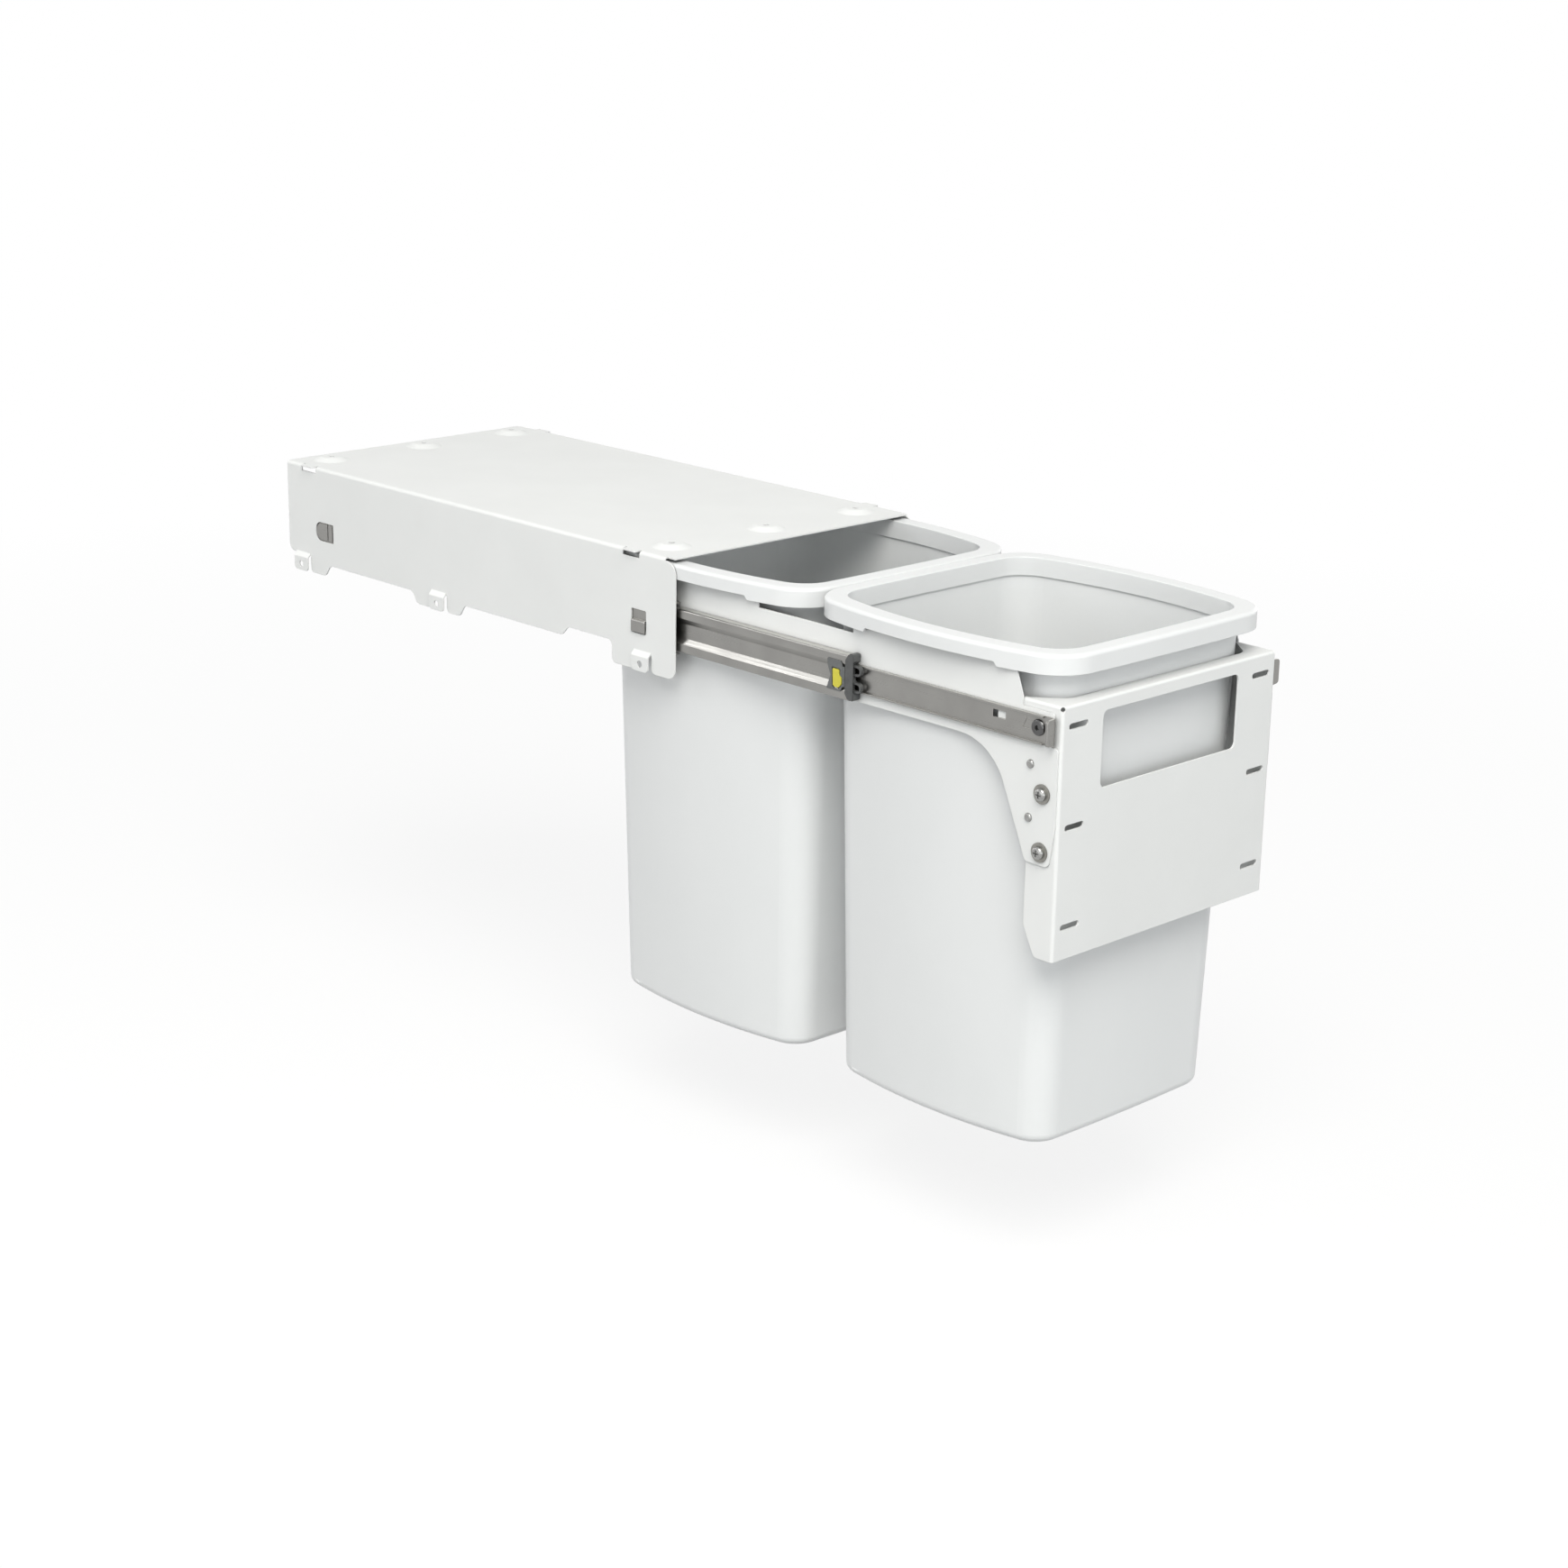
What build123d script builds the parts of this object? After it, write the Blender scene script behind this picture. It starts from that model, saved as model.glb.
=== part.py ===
from build123d import *
import math
import os

# Pull-out waste bin unit for a 300 mm wide kitchen base cabinet, drawn as it stands half open.
# A folded steel housing hangs under the cabinet top. A drawer frame runs out of it on two
# ball-bearing slides and carries two plastic bins, each with a snap-on rim that holds its bag.
#
# While it is drawn, x runs to the right, y runs back from the front edge of the housing's top
# plate, and z runs up from the plate's top face. The finished pieces are moved so that the
# origin is the centre of the six ceiling screw holes, in the plane of the raised screw seats.
# Pieces that come in pairs are drawn on the right (+x) side and mirrored. All sizes are in mm.

# ---- driving dimensions -------------------------------------------------------------------

HOUSING_WIDTH = 262.0       # outside of one wall to outside of the other
HOUSING_SHEET = 1.2         # thickness of the housing's steel
PLATE_DEPTH = 502.0         # top plate, front edge to back edge
WALL_FRONT = -4.3           # the walls reach a little past the plate in front
WALL_TOP = -2.3             # top of the walls' free corners, in front of the fold
WALL_BOTTOM = -84.4
LUG_BOTTOM = -94.5          # the walls reach down in lugs on both sides of each tab
TAB_PROUD = 3.0             # the screw tabs stand out from the walls and touch the cabinet sides
TAB_WIDTH = 19.6
TAB_SLIT = 1.0              # the cut between a tab and the wall beside it
TAB_SLIT_TOP = -80.4
TAB_BOTTOM = -94.2
TAB_HOLE_RADIUS = 2.75
TAB_HOLE_Z = -88.6
TAB_HOLES_Y = (33.5, 289.5, 481.5)      # multiples of 32 mm apart, 37.8 mm behind the wall's front
SCREW_SEAT_RISE = 3.2
SCREW_SEAT_RADIUS = 8.5
SCREW_SEAT_FOOT = 15.6
SCREW_HOLE_RADIUS = 2.5
SCREW_SPACING_X = 101.0
SCREW_SPACING_Y = 445.0
SCREW_ROW_FRONT = 33.0
FOLD_SLOTS_Y = ((37.2, 56.4), (460.2, 480.7))   # where the fold between plate and wall is cut
FOLD_SLOT_BOTTOM = -5.6

SLIDE_CENTRE_Z = -55.4
SLIDE_STEEL = 1.2
OUTER_SLIDE_HEIGHT = 41.6
OUTER_SLIDE_REACH = 8.8     # how far its arms come in from the wall
OUTER_SLIDE_FRONT = 0.6
OUTER_SLIDE_LENGTH = 500.0
MIDDLE_SLIDE_HEIGHT = 34.2
MIDDLE_SLIDE_FACE = 127.2   # x of its outermost face
MIDDLE_SLIDE_WEB = 124.4    # x of the outer face of its recessed web
MIDDLE_SLIDE_EDGE = 120.3   # x of the free edges of its arms
MIDDLE_SLIDE_FRONT = -187.7
MIDDLE_SLIDE_LENGTH = 480.0
INNER_SLIDE_HEIGHT = 20.7
INNER_SLIDE_LIP = 3.2       # how far its rolled edges stand out from the panel
INNER_SLIDE_FRONT = -379.8
INNER_SLIDE_LENGTH = 500.0
SLIDE_STOP_OUTER = 129.2    # how far its front end is turned out, as a stop
SLIDE_SHANK = 2.0           # radius of the drawer member's screws
SLIDE_SCREW_PLACES = ((-364.9, -54.2), (-140.0, SLIDE_CENTRE_Z), (90.0, SLIDE_CENTRE_Z))
PAWL_Y = -175.8             # the latch lever's pin
PAWL_Z = -57.0
PAWL_PIN_RADIUS = 1.0
BALL_RADIUS_OUTER = 0.95
BALL_RADIUS_INNER = 2.5
BALLS_IN_ROW = 10
OUTER_TRACK_X = 125.4
INNER_TRACK_X = 122.8
CAGE_STEEL = 0.6
CAGE_LENGTH_OUTER = 210.0
CAGE_LENGTH_INNER = 220.0
CAGE_FRONT_OUTER = 37.0
CAGE_FRONT_INNER = -140.0

PANEL_OUTER = 119.8         # x of the outer face of the drawer's side panels
PANEL_SHEET = 1.2
PANEL_BACK = 122.0
PANEL_HIGH = -8.1           # the raised parts of the top edge, which carry the bins
PANEL_LOW = -23.1
PANEL_BOTTOM = -73.5
PANEL_FRONT = -382.0

BRACKET_FRONT = -384.0      # the face that the cabinet door is screwed to
BRACKET_SHEET = 1.5
BRACKET_TOP = -36.7
BRACKET_BOTTOM = -221.8
SLOT_SPACING_X = 202.8
SLOT_SPACING_Z = 73.1
SLOT_TOP_Z = -51.7
SLOT_LENGTH = 20.0
SLOT_WIDTH = 4.4
RELIEF_Z = -38.5            # round relief hole in each vertical bend
RELIEF_RADIUS = 1.6
BRACKET_SCREW_PLACES = ((-369.6, -101.3), (-369.6, -143.5))
BRACKET_RIVET_PLACES = ((-357.9, -82.0), (-357.9, -120.7))
SCREW_SHANK = 2.5
WASHER_HEIGHT = 1.2
RIVET_SHANK = 2.0

BIN_CENTRES = {"front": -257.2, "rear": -6.5}
BIN_TOP = -5.8
BIN_BOTTOM = -377.3
BIN_WALL = 1.6
BIN_FLOOR = 2.0
BIN_FLANGE = 7.0            # width of the outward flange that rests on the panels
# half width, bow of the long sides, half length, bow of the ends, corner radius
BIN_MOUTH_SHAPE = (117.4, 9.2, 113.85, 1.1, 29.3)
BIN_FOOT_SHAPE = (106.5, 7.5, 104.7, 1.3, 24.0)
RING_SHAPE = (129.1, 8.8, 125.1, 1.1, 36.0)
RING_OPENING_SHAPE = (113.9, 9.2, 110.5, 1.1, 26.0)
RING_TOP = -3.7
RING_BOTTOM = -18.4
RING_WALL = 1.8
RING_SKIRT = 1.1            # the inner skirt, which sits inside the bin's mouth

# ---- sizes that follow from them ------------------------------------------------------------

HALF = HOUSING_WIDTH / 2
WALL_INNER = HALF - HOUSING_SHEET
TAB_OUTER = HALF + TAB_PROUD
OUTER_WEB_INNER = WALL_INNER - SLIDE_STEEL
PANEL_INNER = PANEL_OUTER - PANEL_SHEET
SCREW_CENTRE_Y = SCREW_ROW_FRONT + SCREW_SPACING_Y / 2
OUTER_TRACK_Z = SLIDE_CENTRE_Z + OUTER_SLIDE_HEIGHT / 2 - SLIDE_STEEL - 1.25    # upper row of balls
INNER_TRACK_Z = SLIDE_CENTRE_Z + INNER_SLIDE_HEIGHT / 2 + 2.9
BEYOND = 20.0               # how far cutting shapes run past what they cut


# ---- drawing helpers --------------------------------------------------------------------------

def outline(corners):
    """Face inside a closed run of (u, v, radius) corners, each rounded by its radius."""
    starts = []
    ends = []
    edges = []
    for i, (u, v, radius) in enumerate(corners):
        here = Vector(u, v)
        back = (Vector(*corners[i - 1][:2]) - here).normalized()
        ahead = (Vector(*corners[(i + 1) % len(corners)][:2]) - here).normalized()
        half_angle = math.radians(back.get_angle(ahead)) / 2
        reach = radius / math.tan(half_angle)
        starts.append(here + back * reach)
        ends.append(here + ahead * reach)
        if radius > 0:
            to_centre = (back + ahead).normalized()
            depth = radius / math.sin(half_angle) - radius
            edges.append(ThreePointArc(starts[i], here + to_centre * depth, ends[i]))
    for i, start in enumerate(starts):
        if (ends[i - 1] - start).length > 1e-6:
            edges.append(Line(ends[i - 1], start))
    return make_face(Wire(edges))


def rectangle(u_low, u_high, v_low, v_high, radius=0.0):
    """Corners of a rectangle with equal corner radii."""
    return [
        (u_low, v_low, radius),
        (u_high, v_low, radius),
        (u_high, v_high, radius),
        (u_low, v_high, radius),
    ]


def across(corners, x_low, x_high):
    """Solid whose side view (y, z) is the outline."""
    return extrude(Plane.YZ.offset(x_low) * outline(corners), x_high - x_low)


def along(corners, y_front, y_back):
    """Solid whose front view (x, z) is the outline."""
    return extrude(Plane.XZ.offset(-y_front) * outline(corners), y_front - y_back)


def upward(corners, z_low, z_high):
    """Solid whose plan view (x, y) is the outline."""
    return extrude(Plane.XY.offset(z_low) * outline(corners), z_high - z_low)


def block(x_low, x_high, y_low, y_high, z_low, z_high):
    """Plain box between two corners."""
    return upward(rectangle(x_low, x_high, y_low, y_high), z_low, z_high)


def cross_pin(x_low, x_high, y, z, radius):
    """Round bar that lies along x."""
    return Pos((x_low + x_high) / 2, y, z) * Rot(0, 90, 0) * Cylinder(radius, x_high - x_low)


def mirrored(shape):
    """The same shape on the other side."""
    return mirror(shape, Plane.YZ)


def both_sides(shape):
    """The shape and its mirror image as one."""
    return shape + mirrored(shape)


def bowed_face(shape, inset=0.0, centre_y=0.0, z=0.0):
    """Rounded rectangle whose sides bow out, drawn in smaller by the inset."""
    half_width, side_bow, half_length, end_bow, corner = shape
    half_width -= inset
    half_length -= inset
    corner -= inset
    u = half_width - corner - side_bow
    v = half_length - corner - end_bow
    side_lean = math.asin(2 * side_bow * v / (v * v + side_bow * side_bow))
    end_lean = math.asin(2 * end_bow * u / (u * u + end_bow * end_bow))

    def corner_points(sign_x, sign_y):
        points = []
        for turn in (side_lean, (side_lean + math.pi / 2 - end_lean) / 2, math.pi / 2 - end_lean):
            x = u + corner * math.cos(turn)
            y = v + corner * math.sin(turn)
            points.append(Vector(sign_x * x, centre_y + sign_y * y, z))
        return points

    right_back = corner_points(1, 1)
    left_back = corner_points(-1, 1)
    left_front = corner_points(-1, -1)
    right_front = corner_points(1, -1)
    right = Vector(half_width, centre_y, z)
    left = Vector(-half_width, centre_y, z)
    back = Vector(0, centre_y + half_length, z)
    front = Vector(0, centre_y - half_length, z)
    arcs = [
        ThreePointArc(right_front[0], right, right_back[0]),
        ThreePointArc(*right_back),
        ThreePointArc(right_back[2], back, left_back[2]),
        ThreePointArc(*left_back),
        ThreePointArc(left_back[0], left, left_front[0]),
        ThreePointArc(*left_front),
        ThreePointArc(left_front[2], front, right_front[2]),
        ThreePointArc(*right_front),
    ]
    return make_face(Wire(arcs))


def edges_at(shape, z):
    """Edges of a shape that lie in one level plane."""
    return shape.edges().filter_by_position(Axis.Z, z - 0.01, z + 0.01)


# ---- housing ----------------------------------------------------------------------------------

def wall_outline():
    """Side view of the housing: free front corner, lugs, slits and a step at the bottom."""
    fold_front = 8.2        # the fold between plate and wall runs from here to the back
    back_bottom = -79.8
    step_z = -76.6          # bottom edge behind the front tab
    front_tab, middle_tab, back_tab = (tab_span(y) for y in TAB_HOLES_Y)
    return [
        (WALL_FRONT, WALL_TOP, 11),
        (fold_front, WALL_TOP, 0),
        (fold_front, 1, 0),
        (PLATE_DEPTH, 1, 0),
        (PLATE_DEPTH, back_bottom, 7),
        (back_tab[0] - TAB_SLIT, back_bottom, 0),
        (back_tab[0] - TAB_SLIT, LUG_BOTTOM, 4),
        (449.5, LUG_BOTTOM, 7),
        (442.5, WALL_BOTTOM, 7),
        (325.5, WALL_BOTTOM, 7),
        (319.0, LUG_BOTTOM, 6),
        *slit_round(middle_tab),
        (261.5, LUG_BOTTOM, 6),
        (255.0, WALL_BOTTOM, 6),
        (130.0, WALL_BOTTOM, 6),
        (122.5, step_z, 6),
        (69.2, step_z, 5),
        (69.2, LUG_BOTTOM, 5),
        *slit_round(front_tab),
        (WALL_FRONT, LUG_BOTTOM, 8),
    ]


def slit_round(tab):
    """Corners of the cut-out that a tab is bent out of, from its back edge to its front edge."""
    front, back = tab
    return [
        (back + TAB_SLIT, LUG_BOTTOM, 4),
        (back + TAB_SLIT, TAB_SLIT_TOP, 0.9),
        (front - TAB_SLIT, TAB_SLIT_TOP, 0.9),
        (front - TAB_SLIT, LUG_BOTTOM, 4),
    ]


def tab_span(hole_y):
    """Front and back edge of the tab round a hole."""
    return hole_y - TAB_WIDTH / 2, hole_y + TAB_WIDTH / 2


def screw_tab(hole_y):
    """Strip of the wall that is set outwards and has a screw hole."""
    front, back = tab_span(hole_y)
    bend_top = -78.4
    bend_bottom = -82.2
    inner = TAB_OUTER - HOUSING_SHEET
    strip = along(
        [
            (WALL_INNER, bend_top + 0.6, 0),
            (HALF, bend_top + 0.6, 0),
            (HALF, bend_top, 1.5),
            (TAB_OUTER, bend_bottom, 1.5),
            (TAB_OUTER, TAB_BOTTOM, 0),
            (inner, TAB_BOTTOM, 0),
            (inner, bend_bottom - 0.4, 0.5),
            (WALL_INNER, bend_top - 0.4, 0.5),
        ],
        front,
        back,
    )
    rounding = across(
        [(front, 0, 0), (back, 0, 0), (back, TAB_BOTTOM, 4), (front, TAB_BOTTOM, 4)],
        WALL_INNER - 1,
        TAB_OUTER + 1,
    )
    hole = cross_pin(WALL_INNER, TAB_OUTER + 1, hole_y, TAB_HOLE_Z, TAB_HOLE_RADIUS)
    return (strip & rounding) - hole


def screw_seat():
    """Raised round seat pressed up out of the top plate, with the ceiling screw hole."""
    rise = SCREW_SEAT_RISE
    lift = rise - HOUSING_SHEET
    section = outline(
        [
            (SCREW_SEAT_FOOT + 1, 0, 0),
            (SCREW_SEAT_FOOT, 0, 4),
            (SCREW_SEAT_RADIUS, rise, 3),
            (SCREW_HOLE_RADIUS, rise, 0),
            (SCREW_HOLE_RADIUS, lift, 0),
            (SCREW_SEAT_RADIUS - 0.3, lift, 3),
            (SCREW_SEAT_FOOT - 0.3, -HOUSING_SHEET, 4),
            (SCREW_SEAT_FOOT + 1, -HOUSING_SHEET, 0),
        ]
    )
    return revolve(Plane.XZ * section, Axis.Z)


def screw_places():
    """Plan positions of the six ceiling screws."""
    places = []
    for x in (-SCREW_SPACING_X, 0, SCREW_SPACING_X):
        for y in (SCREW_ROW_FRONT, SCREW_ROW_FRONT + SCREW_SPACING_Y):
            places.append((x, y))
    return places


def housing_shell():
    """Top plate and two side walls, folded from one sheet."""
    inner_bend = 1.8
    outer_bend = inner_bend + HOUSING_SHEET
    low = LUG_BOTTOM - 1
    fold = along(
        [
            (-HALF, low, 0),
            (-HALF, 0, outer_bend),
            (HALF, 0, outer_bend),
            (HALF, low, 0),
            (WALL_INNER, low, 0),
            (WALL_INNER, -HOUSING_SHEET, inner_bend),
            (-WALL_INNER, -HOUSING_SHEET, inner_bend),
            (-WALL_INNER, low, 0),
        ],
        WALL_FRONT,
        PLATE_DEPTH,
    )
    shell = fold & across(wall_outline(), -HALF - 1, HALF + 1)
    plate_half = HALF - outer_bend - 0.6
    shell += block(-plate_half, plate_half, 0, PLATE_DEPTH, -HOUSING_SHEET, 0)

    # Two short stretches of each fold stay flat and stand out as tongues over a slot.
    for front, back in FOLD_SLOTS_Y:
        slot = block(plate_half, HALF + 1, front, back, FOLD_SLOT_BOTTOM, 1)
        tongue = upward(
            [
                (plate_half - 1, front + 1.6, 0),
                (TAB_OUTER, front + 2.0, 1.0),
                (TAB_OUTER, back - 2.6, 1.0),
                (plate_half - 1, back - 2.0, 0),
            ],
            -HOUSING_SHEET,
            0,
        )
        shell = shell - both_sides(slot) + both_sides(tongue)

    # The outer slides hook into two windows in each wall.
    front_window = across(rectangle(29.1, 46.4, -65.2, -46.1, 1.5), WALL_INNER - 1, HALF + 1)
    back_window = across(
        [(436.7, -64.1, 1), (462.1, -64.1, 7), (462.1, -47.5, 7), (436.7, -47.5, 1)],
        WALL_INNER - 1,
        HALF + 1,
    )
    shell -= both_sides(front_window + back_window)

    for hole_y in TAB_HOLES_Y:
        shell += both_sides(screw_tab(hole_y))
    for x, y in screw_places():
        shell -= Pos(x, y, 0) * Cylinder(SCREW_SEAT_FOOT + 1, 4)
        shell += Pos(x, y, 0) * screw_seat()
    return shell


# ---- slides -----------------------------------------------------------------------------------

def outer_slide():
    """Cabinet member: a channel on the wall, with two hooks through the wall's windows."""
    half_height = OUTER_SLIDE_HEIGHT / 2
    top = SLIDE_CENTRE_Z + half_height
    bottom = SLIDE_CENTRE_Z - half_height
    edge = WALL_INNER - OUTER_SLIDE_REACH
    channel = along(
        [
            (WALL_INNER, top, 2.0),
            (WALL_INNER, bottom, 2.0),
            (edge, bottom, 0),
            (edge, bottom + SLIDE_STEEL, 0),
            (OUTER_WEB_INNER, bottom + SLIDE_STEEL, 0.8),
            (OUTER_WEB_INNER, top - SLIDE_STEEL, 0.8),
            (edge, top - SLIDE_STEEL, 0),
            (edge, top, 0),
        ],
        OUTER_SLIDE_FRONT,
        OUTER_SLIDE_FRONT + OUTER_SLIDE_LENGTH,
    )
    hook_top = -54.3
    hook_outer = HALF + 1.7
    hook = along(
        [
            (WALL_INNER - 0.6, hook_top, 0),
            (hook_outer, hook_top, 1.5),
            (hook_outer, -64.0, 0),
            (HALF + 0.4, -64.0, 0),
            (HALF + 0.4, hook_top - SLIDE_STEEL, 0.4),
            (WALL_INNER - 0.6, hook_top - SLIDE_STEEL, 0),
        ],
        29.5,
        45.0,
    )
    back_tongue = across(
        [(445.8, -62.9, 1), (460.8, -62.9, 6), (460.8, -48.7, 6), (445.8, -48.7, 1)],
        WALL_INNER - 0.6,
        HALF - 0.3,
    )
    back_rib = across(rectangle(439.4, 444.6, -62.9, -48.7, 1), WALL_INNER - 0.6, HALF - 0.5)
    return channel + hook + back_tongue + back_rib


def middle_slide():
    """Intermediate member: a recessed web between two rolled ball tracks."""
    top = SLIDE_CENTRE_Z + MIDDLE_SLIDE_HEIGHT / 2
    bottom = SLIDE_CENTRE_Z - MIDDLE_SLIDE_HEIGHT / 2
    face, web, edge = MIDDLE_SLIDE_FACE, MIDDLE_SLIDE_WEB, MIDDLE_SLIDE_EDGE
    track = 6.9             # height of each rolled track
    ledge = 4.6             # height of the slope between track and web
    steel = SLIDE_STEEL
    shift = 0.5             # how far the slope's inner face lies below its outer face
    return along(
        [
            (edge, top, 0),
            (face, top, 1.6),
            (face, top - track, 1.0),
            (web, top - track - ledge, 1.0),
            (web, bottom + track + ledge, 1.0),
            (face, bottom + track, 1.0),
            (face, bottom, 1.6),
            (edge, bottom, 0),
            (edge, bottom + steel, 0),
            (face - steel, bottom + steel, 0.4),
            (face - steel, bottom + track - shift, 0.6),
            (web - steel, bottom + track + ledge - shift, 0.6),
            (web - steel, top - track - ledge + shift, 0.6),
            (face - steel, top - track + shift, 0.6),
            (face - steel, top - steel, 0.4),
            (edge, top - steel, 0),
        ],
        MIDDLE_SLIDE_FRONT,
        MIDDLE_SLIDE_FRONT + MIDDLE_SLIDE_LENGTH,
    )


def inner_slide():
    """Drawer member: a flat channel on the panel, with its front end turned out as a stop."""
    top = SLIDE_CENTRE_Z + INNER_SLIDE_HEIGHT / 2
    bottom = SLIDE_CENTRE_Z - INNER_SLIDE_HEIGHT / 2
    web = PANEL_OUTER + SLIDE_STEEL
    lip = PANEL_OUTER + INNER_SLIDE_LIP
    back = INNER_SLIDE_FRONT + INNER_SLIDE_LENGTH
    lips_front = INNER_SLIDE_FRONT + 10.0
    stop_sheet = 1.9
    stop_back = INNER_SLIDE_FRONT + stop_sheet
    stop_top = -44.8
    stop_bottom = -63.8
    mark_depth = 0.4
    channel = along(
        [
            (PANEL_OUTER, top, 0.5),
            (lip, top, 0.5),
            (lip, top - SLIDE_STEEL, 0),
            (web, top - SLIDE_STEEL, 0.3),
            (web, bottom + SLIDE_STEEL, 0.3),
            (lip, bottom + SLIDE_STEEL, 0),
            (lip, bottom, 0.5),
            (PANEL_OUTER, bottom, 0.5),
        ],
        lips_front,
        back,
    )
    stop = upward(
        [
            (PANEL_OUTER, lips_front + 1, 0),
            (PANEL_OUTER, INNER_SLIDE_FRONT, 2.4),
            (SLIDE_STOP_OUTER, INNER_SLIDE_FRONT, 0),
            (SLIDE_STOP_OUTER, stop_back, 0),
            (web, stop_back, 0.9),
            (web, lips_front + 1, 0),
        ],
        bottom,
        top,
    )
    stop &= along(
        [
            (PANEL_OUTER - 1, bottom, 0),
            (PANEL_OUTER - 1, top, 0),
            (web + 1, top, 0),
            (SLIDE_STOP_OUTER, stop_top - 0.8, 2.5),
            (SLIDE_STOP_OUTER, stop_bottom, 2.5),
            (web + 1, stop_bottom - 0.8, 0),
            (web + 1, bottom, 0),
        ],
        INNER_SLIDE_FRONT - 1,
        lips_front + 2,
    )
    slot = across(rectangle(-334.5, -322.6, -55.3, -49.8, 0.6), PANEL_OUTER - 1, web + 1)
    pressed_mark = [(-354.0, -48.6, 0), (-350.2, -56.9, 0), (-356.4, -57.1, 0)]
    mark = across(pressed_mark, web - mark_depth, web + 1)
    member = channel + stop - slot - mark
    for y, z in SLIDE_SCREW_PLACES:
        member -= cross_pin(PANEL_OUTER - 1, web + 1, y, z, SLIDE_SHANK)
    return member


def end_retainer():
    """Moulded stop on the front end of the middle member, with a meandering spring."""
    top = SLIDE_CENTRE_Z + MIDDLE_SLIDE_HEIGHT / 2 + 1.6
    bottom = SLIDE_CENTRE_Z - MIDDLE_SLIDE_HEIGHT / 2 + 0.8
    back = MIDDLE_SLIDE_FRONT
    front = back - 5.1
    recess = front + 2.4
    inner = MIDDLE_SLIDE_EDGE + 0.2
    passage_outer = 123.4   # the drawer member and its screw pass through, inside this
    frame = across(
        [
            (back, top, 1.0),
            (back, bottom, 1.0),
            (front, bottom, 1.6),
            (front, bottom + 5.5, 1.0),
            (recess, bottom + 7.5, 0.5),
            (recess, top - 7.5, 0.5),
            (front, top - 5.5, 1.0),
            (front, top, 1.6),
        ],
        inner,
        MIDDLE_SLIDE_FACE,
    )
    skirt = across(
        [
            (front + 0.6, top - 0.8, 0.5),
            (front + 0.6, bottom + 0.6, 0.5),
            (back + 0.6, bottom + 0.6, 1.0),
            (back + 3.3, bottom + 4.6, 1.0),
            (back + 3.3, top - 5.4, 1.0),
            (back + 0.2, top - 0.8, 1.0),
        ],
        MIDDLE_SLIDE_FACE,
        MIDDLE_SLIDE_FACE + 0.7,
    )
    passage = block(inner - 1, passage_outer, front - 1, back + 1, -66.4, -44.6)
    return frame + skirt - passage + meander_spring(recess)


def meander_spring(root_y):
    """Flat S-shaped spring in front of the stop, from its top to its bottom."""
    inner, outer = 123.5, 126.4
    half_thickness = 0.75
    runs = 4
    top = -45.6
    pitch = 6.3
    radius = pitch / 2
    front_turns = root_y - 8.1 + radius     # where the runs meet the turns at the tip
    back_turns = root_y - radius
    reach = radius + 2 * half_thickness
    spring = None
    for i in range(runs):
        z = top - i * pitch
        end_run = i in (0, runs - 1)
        run_back = root_y + 0.5 if end_run else back_turns
        run = block(inner, outer, front_turns, run_back, z - half_thickness, z + half_thickness)
        spring = run if spring is None else spring + run
    for i in range(runs - 1):
        at_tip = i % 2 == 0
        centre_y = front_turns if at_tip else back_turns
        z = top - (i + 0.5) * pitch
        turn = cross_pin(inner, outer, centre_y, z, radius + half_thickness)
        turn -= cross_pin(inner - 1, outer + 1, centre_y, z, radius - half_thickness)
        low, high = (centre_y - reach, centre_y) if at_tip else (centre_y, centre_y + reach)
        spring += turn & block(inner, outer, low, high, z - reach, z + reach)
    return spring


def latch_body():
    """Moulded release latch, snapped into the middle member's recess."""
    cover = across(
        [
            (-179.8, -43.7, 0.8),
            (-166.2, -43.6, 0.8),
            (-166.6, -48.6, 1.5),
            (-169.8, -55.8, 2.0),
            (-165.8, -66.6, 0.8),
            (-179.8, -66.6, 0.8),
            (-183.0, -60.0, 1.5),
            (-181.4, -46.6, 1.5),
        ],
        MIDDLE_SLIDE_FACE + 0.1,
        MIDDLE_SLIDE_FACE + 0.8,
    )
    base_top = -47.9
    base_bottom = -62.9
    slope_top = -50.4       # between here and the top, the base follows the member's slope
    slope_bottom = -60.4
    outer = MIDDLE_SLIDE_FACE + 0.5
    slope_x = MIDDLE_SLIDE_WEB + 1.5
    base = along(
        [
            (outer, base_top, 0),
            (slope_x, base_top, 0),
            (MIDDLE_SLIDE_WEB, slope_top, 0),
            (MIDDLE_SLIDE_WEB, slope_bottom, 0),
            (slope_x, base_bottom, 0),
            (outer, base_bottom, 0),
        ],
        -183.6,
        -167.4,
    )
    base &= across(
        [
            (-183.8, -47.0, 2.0),
            (-167.2, -47.0, 1.0),
            (-170.0, -55.8, 2.0),
            (-167.2, -63.0, 1.0),
            (-183.8, -63.0, 2.0),
        ],
        MIDDLE_SLIDE_WEB - 1,
        MIDDLE_SLIDE_FACE + 1,
    )
    well = across(pawl_outline(1.15), MIDDLE_SLIDE_FACE - 0.5, MIDDLE_SLIDE_FACE + 1)
    pin_end = MIDDLE_SLIDE_FACE + 0.45
    pin = cross_pin(MIDDLE_SLIDE_WEB, pin_end, PAWL_Y, PAWL_Z, PAWL_PIN_RADIUS)
    return cover + base - well + pin


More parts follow.
